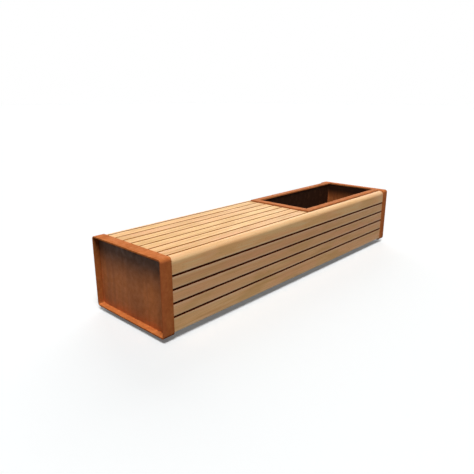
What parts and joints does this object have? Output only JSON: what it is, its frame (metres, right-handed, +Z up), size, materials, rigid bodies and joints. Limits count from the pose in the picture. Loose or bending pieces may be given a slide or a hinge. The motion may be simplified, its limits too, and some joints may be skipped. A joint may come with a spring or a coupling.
{
  "type": "bench with planter",
  "caption": "Long low street bench of hardwood boards between weathering steel end caps, with a lift-out planter box set into one end of its seat.",
  "frame": {"origin": "on the ground, under the middle of the bench", "axes": "+X along the bench towards the planter's end, +Y across it towards the back boards, +Z up"},
  "size_m": [2.446, 0.625, 0.467],
  "materials": {
    "weathering_steel": "matte",
    "hardwood": "satin",
    "galvanised_steel": "satin",
    "dark_coated_steel": "matte",
    "rubber": "matte"
  },
  "bodies": {
    "bench": {"near_end_hoop": "weathering_steel", "far_end_hoop": "weathering_steel", "near_end_panel": "weathering_steel", "far_end_panel": "weathering_steel", "front_low_board": "hardwood", "front_side_board_1": "hardwood", "front_side_board_2": "hardwood", "front_side_board_3": "hardwood", "front_corner_board": "hardwood", "back_low_board": "hardwood", "back_side_board_1": "hardwood", "back_side_board_2": "hardwood", "back_side_board_3": "hardwood", "back_corner_board": "hardwood", "top_slat_1": "hardwood", "top_slat_2": "hardwood", "top_slat_3": "hardwood", "top_slat_4": "hardwood", "top_slat_5": "hardwood", "top_slat_6": "hardwood", "top_slat_7": "hardwood", "front_rail": "galvanised_steel", "back_rail": "galvanised_steel", "cross_bar_1": "galvanised_steel", "cross_bar_2": "galvanised_steel", "cross_bar_3": "galvanised_steel", "cross_bar_4": "galvanised_steel", "cross_bar_5": "galvanised_steel", "front_post_1": "galvanised_steel", "front_post_2": "galvanised_steel", "front_post_3": "galvanised_steel", "front_post_4": "galvanised_steel", "front_post_5": "galvanised_steel", "back_post_1": "galvanised_steel", "back_post_2": "galvanised_steel", "back_post_3": "galvanised_steel", "back_post_4": "galvanised_steel", "back_post_5": "galvanised_steel", "top_bar_1": "galvanised_steel", "top_bar_2": "galvanised_steel", "top_bar_3": "galvanised_steel", "rubber_strip_1": "rubber", "rubber_strip_2": "rubber", "rubber_strip_3": "rubber", "foot_pad_1": "rubber", "foot_pad_2": "rubber", "foot_pad_3": "rubber", "foot_pad_4": "rubber", "foot_pad_5": "rubber", "foot_pad_6": "rubber", "foot_stem_1": "galvanised_steel", "foot_stem_2": "galvanised_steel", "foot_stem_3": "galvanised_steel", "foot_stem_4": "galvanised_steel", "foot_stem_5": "galvanised_steel", "foot_stem_6": "galvanised_steel"},
    "planter": {"planter_rim": "weathering_steel", "planter_trough": "dark_coated_steel"}
  },
  "joints": [
    {"name": "planter_lift", "type": "slide", "parent": "bench", "child": "planter", "axis": [0, 0, 1], "range_m": [0, 0.4]}
  ]
}
